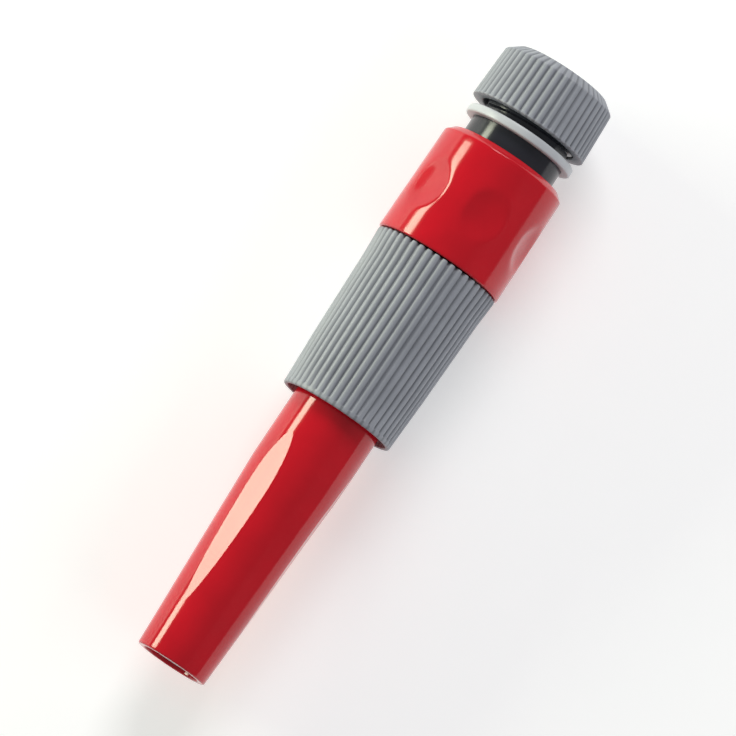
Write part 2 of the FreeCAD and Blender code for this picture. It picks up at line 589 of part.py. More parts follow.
def spindle():
    """Fixed rod whose head closes the outlet when the tip is screwed fully in."""
    groove_end = HEAD_GROOVE_X + HEAD_GROOVE_W
    outline = [(SPIDER_REAR, 0), (SPIDER_REAR, ROD_REAR_R), (SPIDER_REAR + 2.0, ROD_R)]
    land = HEAD_R - 0.4
    outline += [(ROD_FRONT, ROD_FRONT_R), (HEAD_GROOVE_X - 2.5, land), (HEAD_GROOVE_X, land)]
    outline += [(HEAD_GROOVE_X, HEAD_GROOVE_R), (groove_end, HEAD_GROOVE_R), (groove_end, HEAD_R)]
    outline += [(groove_end + x, r) for x, r in HEAD_NOSE]
    rod = turned(outline)
    hub = tube(SPIDER_REAR, SPIDER_FRONT, SPIDER_R - HUB_WALL, SPIDER_R - PRESS_GAP)
    spoke = block(SPIDER_REAR, SPIDER_FRONT, -SPOKE_W / 2, SPOKE_W / 2, 1.3, SPIDER_R - HUB_WALL / 2)
    for piece in [hub] + around(spoke, SPOKES, 45):
        rod = rod.fuse(piece)
    return rod


def spindle_o_ring():
    return seal(HEAD_GROOVE_X + HEAD_GROOVE_W / 2, SEAT_R, HEAD_SEAL_CORD_R)


NODES = {
    "hose_nut": hose_nut,
    "collet": collet,
    "coupler_core": coupler_core,
    "flange_ring": flange_ring,
    "coupler_barrel": coupler_barrel,
    "barrel_o_ring": barrel_o_ring,
    "sleeve_stop_ring": sleeve_stop_ring,
    "sleeve_spring": sleeve_spring,
    "release_sleeve": release_sleeve,
    "nozzle_body": nozzle_body,
    "nipple_o_ring": nipple_o_ring,
    "collar_snap_ring": collar_snap_ring,
    "slide_o_ring": slide_o_ring,
    "collar": collar,
    "tip_stop_ring": tip_stop_ring,
    "tip_tube": tip_tube,
    "outlet_ring": outlet_ring,
    "spindle": spindle,
    "spindle_o_ring": spindle_o_ring,
}

os.makedirs(PARTS, exist_ok=True)
shapes = {name: make() for name, make in NODES.items()}
for number, piece in enumerate(around(claw(), CLAW_COUNT), start=1):
    shapes["claw_%d" % number] = piece
for name, shape in shapes.items():
    shape = shape.removeSplitter()
    shape.exportStep(os.path.join(PARTS, name + ".step"))
    print("%-18s %7.1f mm3  valid %s  solids %d" % (name, shape.Volume, shape.isValid(), len(shape.Solids)))
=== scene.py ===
# %% [markdown]
# # A garden spray nozzle in its hose connector
# This lesson finishes a nozzle whose design is already fixed. The design comes in as a frame of plain
# parts, each at its real size, in metres, with the water axis along +X. Here the parts that show get
# their moulded shapes and every part gets its finish. Nothing is moved or resized.

# %% Load the frame
import json
import math

import bpy
from mathutils import Matrix, Vector


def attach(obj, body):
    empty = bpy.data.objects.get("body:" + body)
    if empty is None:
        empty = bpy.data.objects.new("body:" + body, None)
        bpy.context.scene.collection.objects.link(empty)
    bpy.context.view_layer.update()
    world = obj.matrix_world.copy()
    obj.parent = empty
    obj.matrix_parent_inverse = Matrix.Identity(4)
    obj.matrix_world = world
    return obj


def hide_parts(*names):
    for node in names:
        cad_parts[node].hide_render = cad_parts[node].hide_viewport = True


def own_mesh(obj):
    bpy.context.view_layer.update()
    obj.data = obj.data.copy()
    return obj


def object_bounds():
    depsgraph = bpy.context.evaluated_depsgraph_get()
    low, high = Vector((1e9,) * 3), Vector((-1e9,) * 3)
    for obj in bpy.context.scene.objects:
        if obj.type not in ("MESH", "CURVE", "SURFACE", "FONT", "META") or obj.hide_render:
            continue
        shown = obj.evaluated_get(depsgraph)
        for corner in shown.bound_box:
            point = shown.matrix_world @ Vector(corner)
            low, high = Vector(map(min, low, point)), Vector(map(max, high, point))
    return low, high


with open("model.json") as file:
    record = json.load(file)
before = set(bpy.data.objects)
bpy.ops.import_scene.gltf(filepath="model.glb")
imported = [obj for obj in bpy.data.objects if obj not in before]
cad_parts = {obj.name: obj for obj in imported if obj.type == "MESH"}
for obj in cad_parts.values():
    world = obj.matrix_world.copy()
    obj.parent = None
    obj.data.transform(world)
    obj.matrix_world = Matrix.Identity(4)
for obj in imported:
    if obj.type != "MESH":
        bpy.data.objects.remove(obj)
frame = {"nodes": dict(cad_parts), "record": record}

MM = 0.001
TURN = 2 * math.pi
cad_box = [list(corner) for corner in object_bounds()]
print("design box in mm:", [[round(c / MM, 1) for c in corner] for corner in cad_box])

# %% [markdown]
# ## Camera
# The nozzle lies on a pale floor and is looked at from above with a long lens, a little from the
# outlet side. The picture is turned so that the outlet points down to the left.

# %% Camera
VIEW_DISTANCE = 1.9
LEAN_TO_OUTLET = math.radians(7.0)
AXIS_TILT = math.radians(33.5)      # between the water axis and the picture's upright
VIEW_WIDTH = 0.170                  # what the picture takes in at the nozzle
SENSOR_WIDTH = 36                   # in millimetres

low, high = (Vector(corner) for corner in cad_box)
middle = (low + high) / 2
toward_camera = Vector((math.sin(LEAN_TO_OUTLET), 0, math.cos(LEAN_TO_OUTLET)))
picture_up = Vector((-math.cos(AXIS_TILT), -math.sin(AXIS_TILT), 0))
picture_right = picture_up.cross(toward_camera).normalized()
picture_up = toward_camera.cross(picture_right)

camera_data = bpy.data.cameras.new("camera")
camera_data.sensor_width = SENSOR_WIDTH
camera_data.lens = SENSOR_WIDTH * VIEW_DISTANCE / VIEW_WIDTH
camera = bpy.data.objects.new("camera", camera_data)
bpy.context.scene.collection.objects.link(camera)
axes = Matrix((picture_right, picture_up, toward_camera)).transposed()
camera.matrix_world = Matrix.Translation(middle + toward_camera * VIEW_DISTANCE) @ axes.to_4x4()
bpy.context.scene.camera = camera
print("lens in mm:", round(camera_data.lens))

# %% [markdown]
# ## Helpers for modelling
# An operator acts on whatever is selected, so each piece starts from a clean selection. Vertices are
# then picked by their place. Moulded parts that are turned about the water axis start as a circle
# that is extruded and scaled ring by ring, as it would be by hand.

# %% Picking by place
def start_fresh():
    """Leaves edit mode and deselects everything."""
    if bpy.context.mode != "OBJECT":
        bpy.ops.object.mode_set(mode="OBJECT")
    bpy.ops.object.select_all(action="DESELECT")


def pick(piece, wanted):
    """Selects the vertices of a piece whose place passes a test, and stays in edit mode."""
    start_fresh()
    bpy.context.view_layer.objects.active = piece
    piece.select_set(True)
    bpy.ops.object.mode_set(mode="EDIT")
    bpy.ops.mesh.select_mode(type="VERT")
    bpy.ops.mesh.select_all(action="DESELECT")
    bpy.ops.object.mode_set(mode="OBJECT")
    count = 0
    for vertex in piece.data.vertices:
        vertex.select = wanted(vertex.co)
        count += vertex.select
    bpy.ops.object.mode_set(mode="EDIT")
    return count


def radius_of(place):
    """Distance from the water axis."""
    return math.hypot(place.y, place.z)


def angle_of(place):
    """Angle about the water axis, from straight up (+Z) towards -Y."""
    return math.atan2(-place.y, place.z)


print("a quarter turn from the top, in degrees:", math.degrees(angle_of(Vector((0, -1, 0)))))

# %% [markdown]
# ## Round corners on an outline
# A moulded part has no knife-sharp edges. An outline is a list of (x, radius, corner) in millimetres,
# and each corner with a size is replaced by a short arc, worked out from its two neighbours.

# %% Outline with rounded corners
def rounded(outline, steps=4):
    """Outline in metres, with an arc in place of each corner that has a size."""
    points = []
    count = len(outline)
    for k, (x, r, corner) in enumerate(outline):
        here = Vector((x, r))
        if not corner:
            points.append(here * MM)
            continue
        back = (Vector(outline[k - 1][:2]) - here).normalized()
        ahead = (Vector(outline[(k + 1) % count][:2]) - here).normalized()
        half_angle = back.angle(ahead) / 2
        reach = corner / math.tan(half_angle)
        centre = here + (back + ahead).normalized() * corner / math.sin(half_angle)
        first = here + back * reach - centre
        last = here + ahead * reach - centre
        sweep = first.angle_signed(last)
        for s in range(steps + 1):
            spoke = first.copy()
            spoke.rotate(Matrix.Rotation(-sweep * s / steps, 2))
            points.append((centre + spoke) * MM)
    return [(p.x, p.y) for p in points]


print("points on a square with one round corner:",
      len(rounded([(0, 0, 0), (0, 1, 0.2), (1, 1, 0), (1, 0, 0)])))

# %% [markdown]
# ## Turned pieces and their shading
# Most parts of a hose fitting are rings about one axis. A circle is extruded to the next point of the
# outline and scaled to its radius, again and again, which gives clean rings of four-sided faces that
# ribs and flats can be worked into. Smooth shading with an angle limit then keeps real edges crisp.

# %% Turned piece
SAME_PLACE = 1e-7        # in metres


def turned(name, outline, columns, solid=False):
    """A circle extruded and scaled along an outline about the water axis. It closes onto its first
    ring, or if the piece is solid, each end is filled."""
    start_fresh()
    x, r = outline[0]
    bpy.ops.mesh.primitive_circle_add(vertices=columns, radius=r, location=(x, 0, 0),
                                      rotation=(0, math.pi / 2, 0))
    piece = bpy.context.object
    piece.name = piece.data.name = name
    bpy.ops.object.transform_apply(location=True, rotation=True, scale=True)
    bpy.ops.object.mode_set(mode="EDIT")
    bpy.ops.mesh.select_mode(type="EDGE")
    bpy.ops.mesh.select_all(action="SELECT")
    if solid:
        bpy.ops.mesh.edge_face_add()
        bpy.ops.mesh.select_all(action="SELECT")
    for next_x, next_r in outline[1:] + ([] if solid else outline[:1]):
        bpy.ops.mesh.extrude_region_move(TRANSFORM_OT_translate={"value": (next_x - x, 0, 0)})
        k = next_r / r
        bpy.ops.transform.resize(value=(1, k, k), center_override=(next_x, 0, 0))
        x, r = next_x, next_r
    bpy.ops.mesh.select_all(action="SELECT")
    bpy.ops.mesh.remove_doubles(threshold=SAME_PLACE)
    bpy.ops.mesh.normals_make_consistent(inside=False)
    bpy.ops.object.mode_set(mode="OBJECT")
    return piece


def smooth(piece, degrees=32):
    """Smooth shading that keeps real edges crisp."""
    start_fresh()
    piece.select_set(True)
    bpy.context.view_layer.objects.active = piece
    bpy.ops.object.shade_smooth_by_angle(angle=math.radians(degrees))


def apply_boolean(piece, cutter, operation="DIFFERENCE"):
    """Cuts a piece with a cutter, applies the cut and removes the cutter."""
    start_fresh()
    bpy.context.view_layer.objects.active = piece
    piece.select_set(True)
    cut = piece.modifiers.new("cut", "BOOLEAN")
    cut.operation = operation
    cut.solver = "EXACT"
    cut.object = cutter
    bpy.ops.object.modifier_apply(modifier=cut.name)
    bpy.data.objects.remove(cutter)


def soft_block(name, middle, size, bevel):
    """Block with softened edges, in millimetres, for slots and spokes."""
    start_fresh()
    bpy.ops.mesh.primitive_cube_add(size=1, location=[c * MM for c in middle])
    block = bpy.context.object
    block.name = name
    block.scale = [c * MM for c in size]
    bpy.ops.object.transform_apply(location=True, rotation=True, scale=True)
    bpy.ops.object.mode_set(mode="EDIT")
    bpy.ops.mesh.select_all(action="SELECT")
    bpy.ops.mesh.bevel(offset=bevel * MM, segments=2, affect="EDGES")
    bpy.ops.object.mode_set(mode="OBJECT")
    return block


# %% [markdown]
# ## Ribs on a grip
# The nut and the collar have rounded ribs along their length, so that wet fingers can turn them. The
# ring has eight columns of vertices to a rib. Each column is drawn in by its share of the depth, so
# one rib section gives all the ribs, and they fade out where the rings stop being picked.

# %% Ribs
RIB_SECTION = (1.0, 0.74, 0.22, 0.04, 0.0, 0.04, 0.22, 0.74)   # from one groove's middle to the next
RIB_HEIGHT_ABOVE_WALL = 1.5 * MM


def press_ribs(piece, rear, front, count, depth, wall):
    """Presses grooves into the outside of a grip between two stations; wall is a radius inside it."""
    step = TURN / (count * len(RIB_SECTION))
    for column, share in enumerate(RIB_SECTION):
        if not share:
            continue

        def in_column(co):
            if not rear <= co.x <= front or radius_of(co) < wall:
                return False
            return round(angle_of(co) / step) % len(RIB_SECTION) == column

        pick(piece, in_column)
        k = 1 - share * depth / (wall + RIB_HEIGHT_ABOVE_WALL)
        bpy.ops.transform.resize(value=(1, k, k), center_override=(0, 0, 0))
    bpy.ops.object.mode_set(mode="OBJECT")


print("columns of vertices to a rib:", len(RIB_SECTION))

# %% [markdown]
# ## Thread ridges
# A thread is one ridge wound about the axis. Its section is a small four-sided face, and the Screw
# modifier winds it. The ridge is sunk a little into its wall and then joined to it by a union.

# %% Thread ridge
THREAD_STEPS = 96        # to a turn
CLAMP_PITCH, ADJUST_PITCH = 2.5, 6.0


def add_thread(piece, rear, front, pitch, base_r, crest_r, base_w, crest_w, start=0.0):
    """Winds a right-hand ridge from base_r to crest_r and joins it to a piece. Sizes in millimetres."""
    start_fresh()
    bpy.ops.mesh.primitive_plane_add(size=1, location=(0, 0, 0))
    ridge = bpy.context.object
    # The plane's two edges along X become the ridge's crest and base, below the axis.
    for side, width, radius in ((1, crest_w, crest_r), (-1, base_w, base_r)):
        pick(ridge, lambda co: co.y * side > 0.1)
        bpy.ops.transform.resize(value=(width * MM, 0, 1), center_override=(0, 0, 0))
        bpy.ops.transform.translate(value=(rear * MM, 0, -radius * MM))
    bpy.ops.mesh.select_all(action="SELECT")
    bpy.ops.mesh.delete(type="ONLY_FACE")
    bpy.ops.object.mode_set(mode="OBJECT")
    turns = (front - rear) / pitch
    wind = ridge.modifiers.new("wind", "SCREW")
    wind.axis = "X"
    wind.angle = turns * TURN
    wind.screw_offset = (front - rear) * MM
    wind.steps = wind.render_steps = round(turns * THREAD_STEPS)
    wind.use_normal_calculate = True
    bpy.ops.object.modifier_apply(modifier=wind.name)
    bpy.ops.object.mode_set(mode="EDIT")
    bpy.ops.mesh.select_all(action="SELECT")
    bpy.ops.mesh.fill_holes(sides=4)
    bpy.ops.mesh.normals_make_consistent(inside=False)
    bpy.ops.object.mode_set(mode="OBJECT")
    ridge.rotation_euler.x = math.radians(start)
    apply_boolean(piece, ridge, "UNION")


print("thread pitches in mm:", CLAMP_PITCH, ADJUST_PITCH)

# %% [markdown]
# ## Hose nut
# The nut is a cup that screws over the hose end and squeezes the collet. It has a plain chamfer at
# the hose side, 48 ribs, a small step at its open front edge and the thread inside.

# %% Hose nut
NUT_RIBS = 48
nut_outline = [(0, 7.4, 0.5), (0, 11.8, 0.45), (2.2, 14.6, 0.5), (3.2, 14.66, 0), (4.2, 14.72, 0),
               (14.0, 15.12, 0), (14.6, 15.13, 0), (15.2, 15.15, 0.3), (15.2, 12.4, 0.3),
               (9.9, 12.4, 0), (9.9, 9.55, 0), (9.55, 9.55, 0), (9.55, 10.0, 0), (8.45, 10.0, 0),
               (8.45, 9.5, 0), (3.0, 8.05, 0.2), (3.0, 7.4, 0.4)]
nut = turned("hose_nut_grip", rounded(nut_outline), NUT_RIBS * len(RIB_SECTION))
press_ribs(nut, rear=0.7 * MM, front=14.7 * MM, count=NUT_RIBS, depth=0.5 * MM, wall=12.5 * MM)
add_thread(nut, rear=11.4, front=14.0, pitch=CLAMP_PITCH, base_r=12.5, crest_r=11.4,
           base_w=1.4, crest_w=0.7, start=180)
smooth(nut, 40)
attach(nut, "nut")
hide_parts("hose_nut")
print("nut faces:", len(nut.data.polygons))

# %% [markdown]
# ## Release sleeve
# The sleeve is the smooth red ring that is pulled back to let the nozzle go. Six soft oval hollows
# take the fingertips. They are pressed in with proportional editing: a short row of vertices is drawn
# towards the axis and its neighbours follow less and less, which makes a shallow bowl. Its rim is
# then softened, because a moulded hollow has no sharp edge.

# %% Release sleeve
DIMPLES = 6
FIRST_DIMPLE = math.radians(-11.0)
DIMPLE_X, DIMPLE_DEPTH, DIMPLE_REACH = 40.0, 1.15, 4.9      # in millimetres
ROW_LENGTH, ROW_WIDTH = 1.6, 0.4                            # half sizes of the row that is pressed
SOFT_LENGTH, SOFT_WIDTH = 8.0, 6.5                          # half sizes of the area that is softened
SLEEVE_R = 16.15
ARC_R, SKIN_R = 16, 14.7            # where widths are measured, and the least radius of the outside
sleeve_outline = [(24.4, 12.18, 0), (24.4, 14.5, 0.3), (25.9, 16.0, 0.5)]
sleeve_outline += [(27.5 + 0.65 * k, 16.02 + 0.0075 * k, 0) for k in range(38)]
sleeve_outline += [(53.2, 16.3, 0.45), (53.2, 14.75, 0.2), (52.0, 14.75, 0), (46.0, 12.95, 0.3),
                   (37.7, 12.95, 0), (37.7, 10.5, 0), (36.0, 10.5, 0), (36.0, 12.4, 0),
                   (26.6, 12.4, 0), (26.6, 12.18, 0)]
sleeve = turned("release_sleeve_shell", rounded(sleeve_outline), 240)
for k in range(DIMPLES):
    centre = FIRST_DIMPLE + k * TURN / DIMPLES

    def in_oval(co, length, width):
        across = math.remainder(angle_of(co) - centre, TURN) * ARC_R
        along = co.x / MM - DIMPLE_X
        return radius_of(co) > SKIN_R * MM and (along / length) ** 2 + (across / width) ** 2 < 1

    picked = pick(sleeve, lambda co: in_oval(co, ROW_LENGTH, ROW_WIDTH))
    k_in = 1 - DIMPLE_DEPTH / SLEEVE_R
    bpy.ops.transform.resize(value=(1, k_in, k_in), center_override=(0, 0, 0),
                             use_proportional_edit=True, proportional_edit_falloff="INVERSE_SQUARE",
                             proportional_size=DIMPLE_REACH * MM, use_proportional_connected=True)
    pick(sleeve, lambda co: in_oval(co, SOFT_LENGTH, SOFT_WIDTH))
    bpy.ops.mesh.vertices_smooth(factor=0.5, repeat=5)
smooth(sleeve, 40)
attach(sleeve, "sleeve")
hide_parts("release_sleeve")
print("vertices pressed in each hollow:", picked)

# %% [markdown]
# ## Adjusting collar
# The collar is the long ribbed grip that sets the jet. Its 46 grooves run out through the rear edge
# and stop just before the rounded front rim. A second press at the rear edge flares them there.
# Inside it carries the adjusting thread.

# %% Adjusting collar
COLLAR_RIBS = 46
collar_outline = [(53.5, 13.38, 0.2), (53.5, 16.02, 0.3), (54.4, 15.96, 0), (55.4, 15.9, 0),
                  (60.0, 15.6, 0), (66.0, 15.45, 0), (74.0, 15.25, 0), (82.0, 15.05, 0),
                  (89.0, 14.77, 0), (94.4, 14.56, 0),
                  (94.8, 14.55, 0), (95.8, 14.5, 0.4), (95.8, 13.4, 0.3), (84.0, 13.6, 0),
                  (59.8, 13.6, 0), (59.8, 9.4, 0), (57.0, 9.4, 0), (57.0, 13.38, 0)]
collar = turned("collar_grip", rounded(collar_outline), COLLAR_RIBS * len(RIB_SECTION))
press_ribs(collar, rear=53.4 * MM, front=94.6 * MM, count=COLLAR_RIBS, depth=0.58 * MM, wall=14.0 * MM)
press_ribs(collar, rear=53.4 * MM, front=54.2 * MM, count=COLLAR_RIBS, depth=0.5 * MM, wall=14.0 * MM)
add_thread(collar, rear=65.7, front=77.7, pitch=ADJUST_PITCH, base_r=13.7, crest_r=12.3,
           base_w=3.1, crest_w=2.4, start=180)
smooth(collar, 40)
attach(collar, "collar")
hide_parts("collar")
print("collar faces:", len(collar.data.polygons))

# %% [markdown]
# ## Tip tube
# The tip is a long red tube that tapers to the outlet. Three lens-shaped flats are shaved into it.
# A flat has a crisp edge all round, so it is cut: the cutter is a block whose underside is bent
# along the flat's own curve, and the cut's border is then marked sharp.

# %% Flat cutter
FLATS = 3
FIRST_FLAT = math.radians(35.5)
FLAT_REAR, FLAT_DEEP, FLAT_FRONT = 105.0, 119.5, 151.5
FLAT_DEPTH = 0.40
TAPER_X, TIP_END = 113.7, 164.7
ROOT_R, END_R = 11.2, 9.05
CUTTER_FLOOR, CUTTER_HEIGHT, CUTTER_WIDTH, FLAT_STEPS = 9, 12, 24, 48


def tip_radius(x):
    """Outside radius of the tip tube in millimetres."""
    return ROOT_R + (END_R - ROOT_R) * max(0.0, (x - TAPER_X) / (TIP_END - TAPER_X))


def flat_height(x):
    """Height of a flat above the axis, in millimetres: quick to its deepest place, slow to its end."""
    if x < FLAT_DEEP:
        share = (x - FLAT_REAR) / (FLAT_DEEP - FLAT_REAR)
    else:
        share = (FLAT_FRONT - x) / (FLAT_FRONT - FLAT_DEEP)
    return tip_radius(x) - FLAT_DEPTH * math.sin(share * math.pi / 2) ** 1.1 + 0.005


def flat_cutter():
    """Block over the top of the tube with its underside bent to the flat."""
    start_fresh()
    length = FLAT_FRONT - FLAT_REAR
    middle_height = CUTTER_FLOOR + CUTTER_HEIGHT / 2
    bpy.ops.mesh.primitive_cube_add(size=1, location=((FLAT_REAR + length / 2) * MM, 0, middle_height * MM))
    block = bpy.context.object
    block.scale = (length * MM, CUTTER_WIDTH * MM, CUTTER_HEIGHT * MM)
    bpy.ops.object.transform_apply(location=True, rotation=True, scale=True)
    stations = [FLAT_REAR + length * k / FLAT_STEPS for k in range(FLAT_STEPS + 1)]
    bpy.ops.object.mode_set(mode="EDIT")
    for x in stations[1:-1]:
        bpy.ops.mesh.select_all(action="SELECT")
        bpy.ops.mesh.bisect(plane_co=(x * MM, 0, 0), plane_no=(1, 0, 0))
    for x in stations:
        pick(block, lambda co: abs(co.x - x * MM) < 1e-6 and co.z < (CUTTER_FLOOR + 1) * MM)
        bpy.ops.transform.translate(value=(0, 0, (flat_height(x) - CUTTER_FLOOR) * MM))
    bpy.ops.object.mode_set(mode="OBJECT")
    return block


print("tip radius in mm at the root and the outlet:", ROOT_R, tip_radius(TIP_END))

# %% Tip tube
tip_outline = [(64.0, 8.6, 0.2), (64.0, 12.0, 0.4), (80.0, 12.0, 0.3), (80.0, ROOT_R, 0)]
tip_outline += [(x, ROOT_R, 0) for x in (88.0, 96.0, 101.0, 106.0, 110.0)]
tip_outline += [(x, tip_radius(x), 0) for x in (TAPER_X, 117.0, 122.0)]
tip_outline += [(128.0 + 6 * k, tip_radius(128.0 + 6 * k), 0) for k in range(6)]
tip_outline += [(TIP_END, END_R, 0.45), (TIP_END, 7.3, 0.35), (156.4, 7.3, 0), (156.4, 6.7, 0),
                (98.0, 8.0, 0), (96.0, 8.6, 0)]
tip = turned("tip_tube_shell", rounded(tip_outline), 240)
for k in range(FLATS):
    cutter = flat_cutter()
    cutter.rotation_euler.x = FIRST_FLAT + k * TURN / FLATS
    apply_boolean(tip, cutter)
add_thread(tip, rear=65.7, front=78.3, pitch=ADJUST_PITCH, base_r=11.9, crest_r=13.2,
           base_w=3.2, crest_w=2.4)
smooth(tip, 32)
print("tip faces:", len(tip.data.polygons))

# %% [markdown]
# ## Crisp borders on the flats
# A flat meets the round tube at a very low angle, so shading by angle alone would blur its border.
# The faces of each flat are picked by where they look, and the loop round them is marked sharp.

# %% Borders of the flats
FLAT_REACH = 0.6         # widest angle that a flat takes up on each side of its middle


def on_flat(face):
    """True for a face of one of the shaved flats."""
    if not FLAT_REAR * MM < face.center.x < FLAT_FRONT * MM or radius_of(face.center) < CUTTER_FLOOR * MM:
        return False
    for k in range(FLATS):
        middle_of_flat = FIRST_FLAT + k * TURN / FLATS
        sideways = Vector((0, -math.cos(middle_of_flat), -math.sin(middle_of_flat)))
        away = abs(math.remainder(angle_of(face.center) - middle_of_flat, TURN))
        if abs(face.normal.dot(sideways)) < 0.003 and away < FLAT_REACH:
            return True
    return False


start_fresh()
tip.select_set(True)
bpy.context.view_layer.objects.active = tip
bpy.ops.object.mode_set(mode="EDIT")
bpy.ops.mesh.select_mode(type="FACE")
bpy.ops.mesh.select_all(action="DESELECT")
bpy.ops.object.mode_set(mode="OBJECT")
for face in tip.data.polygons:
    face.select = on_flat(face)
flat_faces = sum(face.select for face in tip.data.polygons)
bpy.ops.object.mode_set(mode="EDIT")
bpy.ops.mesh.region_to_loop()
bpy.ops.mesh.mark_sharp()
bpy.ops.object.mode_set(mode="OBJECT")
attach(tip, "tip")
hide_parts("tip_tube")
print("faces on the flats:", flat_faces)

# %% [markdown]
# ## Core and flange ring
# The dark core carries the hose barb, the cup with the clamping thread and the smooth neck that the
# sleeve slides on. Its near-black colour is partly its own and partly painted shade on the thread in
# the gap behind the nut. A pale ring is snapped over a bead on it, between the nut and the sleeve.

# %% Core
core_outline = [(4.0, 3.3, 0.15), (4.0, 4.3, 0.2)]
for k in range(1, 4):
    core_outline += [(4.0 + 2.6 * k, 5.1, 0.12), (4.0 + 2.6 * k, 4.6, 0)]
core_outline += [(13.2, 4.6, 0.4), (13.2, 9.1, 0.3), (10.2, 9.1, 0.15), (10.2, 11.1, 0.35),
                 (17.5, 11.1, 0.2), (17.5, 12.1, 0), (18.15, 12.1, 0), (18.15, 12.45, 0.1),
                 (18.95, 12.45, 0.1), (18.95, 12.1, 0), (20.0, 12.1, 0), (27.6, 12.1, 0.3),
                 (27.6, 7.0, 0), (29.0, 7.0, 0), (29.0, 5.85, 0), (30.6, 5.85, 0), (30.6, 7.0, 0),
                 (31.0, 7.0, 0.15), (31.0, 3.3, 0.2)]
core = turned("coupler_core_body", rounded(core_outline), 160)
add_thread(core, rear=11.4, front=15.6, pitch=CLAMP_PITCH, base_r=11.0, crest_r=12.1,
           base_w=1.6, crest_w=0.8)
smooth(core, 40)
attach(core, "coupler")
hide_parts("coupler_core")
print("core faces:", len(core.data.polygons))

# %% Flange ring
flange_outline = [(17.5, 12.12, 0.1), (17.5, 14.25, 0.45), (19.6, 14.25, 0.45), (19.6, 12.12, 0.1),
                  (18.97, 12.12, 0), (18.97, 12.47, 0), (18.13, 12.47, 0), (18.13, 12.12, 0)]
flange = turned("flange_ring_moulding", rounded(flange_outline), 160)
smooth(flange, 40)
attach(flange, "coupler")
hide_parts("flange_ring")
print("flange ring faces:", len(flange.data.polygons))

# %% [markdown]
# ## Collet
# The collet is a ring of eight springy fingers with a cone outside. The nut's cone squeezes them onto
# the hose. The slots between the fingers are cut by equal blocks, each turned to its place.

# %% Collet
FINGERS = 8
collet_outline = [(3.4, 6.75, 0.2), (3.4, 7.75, 0.3), (8.6, 9.2, 0.1), (8.6, 9.8, 0.1), (9.4, 9.8, 0.15),
                  (9.4, 8.8, 0.1), (12.7, 8.8, 0.3), (12.7, 6.75, 0.2), (10.5, 6.75, 0), (9.9, 6.95, 0.1),
                  (9.3, 6.75, 0), (8.0, 6.75, 0), (7.4, 6.95, 0.1), (6.8, 6.75, 0)]
collet = turned("collet_fingers", rounded(collet_outline), 160)
for k in range(FINGERS):
    slot_block = soft_block("slot", middle=(5.3, 0, 8.5), size=(5.8, 1.2, 5.0), bevel=0.2)
    slot_block.rotation_euler.x = (k + 0.5) * TURN / FINGERS
    apply_boolean(collet, slot_block)
smooth(collet, 35)
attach(collet, "collet")
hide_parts("collet")
print("collet faces:", len(collet.data.polygons))

# %% [markdown]
# ## Sleeve spring
# The spring is round wire wound on a helix. A circle is the wire's section, and the Screw modifier
# winds it, as it did the threads. In the fitting it shortens towards its fixed end as the sleeve is
# drawn back; here it is wound at one length only.

# %% Sleeve spring
start_fresh()
WIRE_R, COIL_R = 0.45, 11.1
SPRING_REAR, SPRING_FRONT, SPRING_TURNS = 28.07, 35.53, 4
SPRING_STEPS = 72        # to a turn
bpy.ops.mesh.primitive_circle_add(vertices=16, radius=WIRE_R * MM, location=(0, 0, 0))
spring = bpy.context.object
spring.name = spring.data.name = "sleeve_spring_wire"
bpy.ops.object.mode_set(mode="EDIT")
bpy.ops.mesh.select_all(action="SELECT")
bpy.ops.transform.rotate(value=math.pi / 2, orient_axis="X", center_override=(0, 0, 0))
bpy.ops.transform.translate(value=(SPRING_REAR * MM, 0, -COIL_R * MM))
bpy.ops.object.mode_set(mode="OBJECT")
wind = spring.modifiers.new("wind", "SCREW")
wind.axis = "X"
wind.angle = SPRING_TURNS * TURN
wind.screw_offset = (SPRING_FRONT - SPRING_REAR) * MM
wind.steps = wind.render_steps = SPRING_TURNS * SPRING_STEPS
bpy.ops.object.modifier_apply(modifier=wind.name)
bpy.ops.object.mode_set(mode="EDIT")
bpy.ops.mesh.select_all(action="SELECT")
bpy.ops.mesh.fill_holes(sides=0)
bpy.ops.mesh.normals_make_consistent(inside=False)
bpy.ops.object.mode_set(mode="OBJECT")
smooth(spring, 40)
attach(spring, "coupler")
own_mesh(spring)
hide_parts("sleeve_spring")
print("spring box in mm:", [[round(c / MM, 2) for c in corner] for corner in
                            ([min(v.co[a] for v in spring.data.vertices) for a in range(3)],
                             [max(v.co[a] for v in spring.data.vertices) for a in range(3)])])

# %% [markdown]
# ## Outlet ring and spindle
# The jet leaves through a ring pressed into the end of the tip. The spindle is a rod that stands
# still inside it. Its pointed head fills the hole when the tip is screwed back, which stops the
# water, and as the tip moves out the gap opens from a mist to a jet.

# %% Outlet ring
ring_outline = [(156.42, 5.6, 0.2), (156.42, 7.28, 0.2), (163.7, 7.28, 0.4), (163.7, 4.6, 0.25),
                (163.35, 4.3, 0.2), (163.5, 3.8, 0.12), (163.2, 3.3, 0.12), (161.8, 3.3, 0.2),
                (160.3, 4.8, 0.3), (157.4, 4.8, 0.2)]
outlet = turned("outlet_ring_moulding", rounded(ring_outline), 128)
smooth(outlet, 40)
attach(outlet, "tip")
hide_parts("outlet_ring")
print("outlet ring faces:", len(outlet.data.polygons))

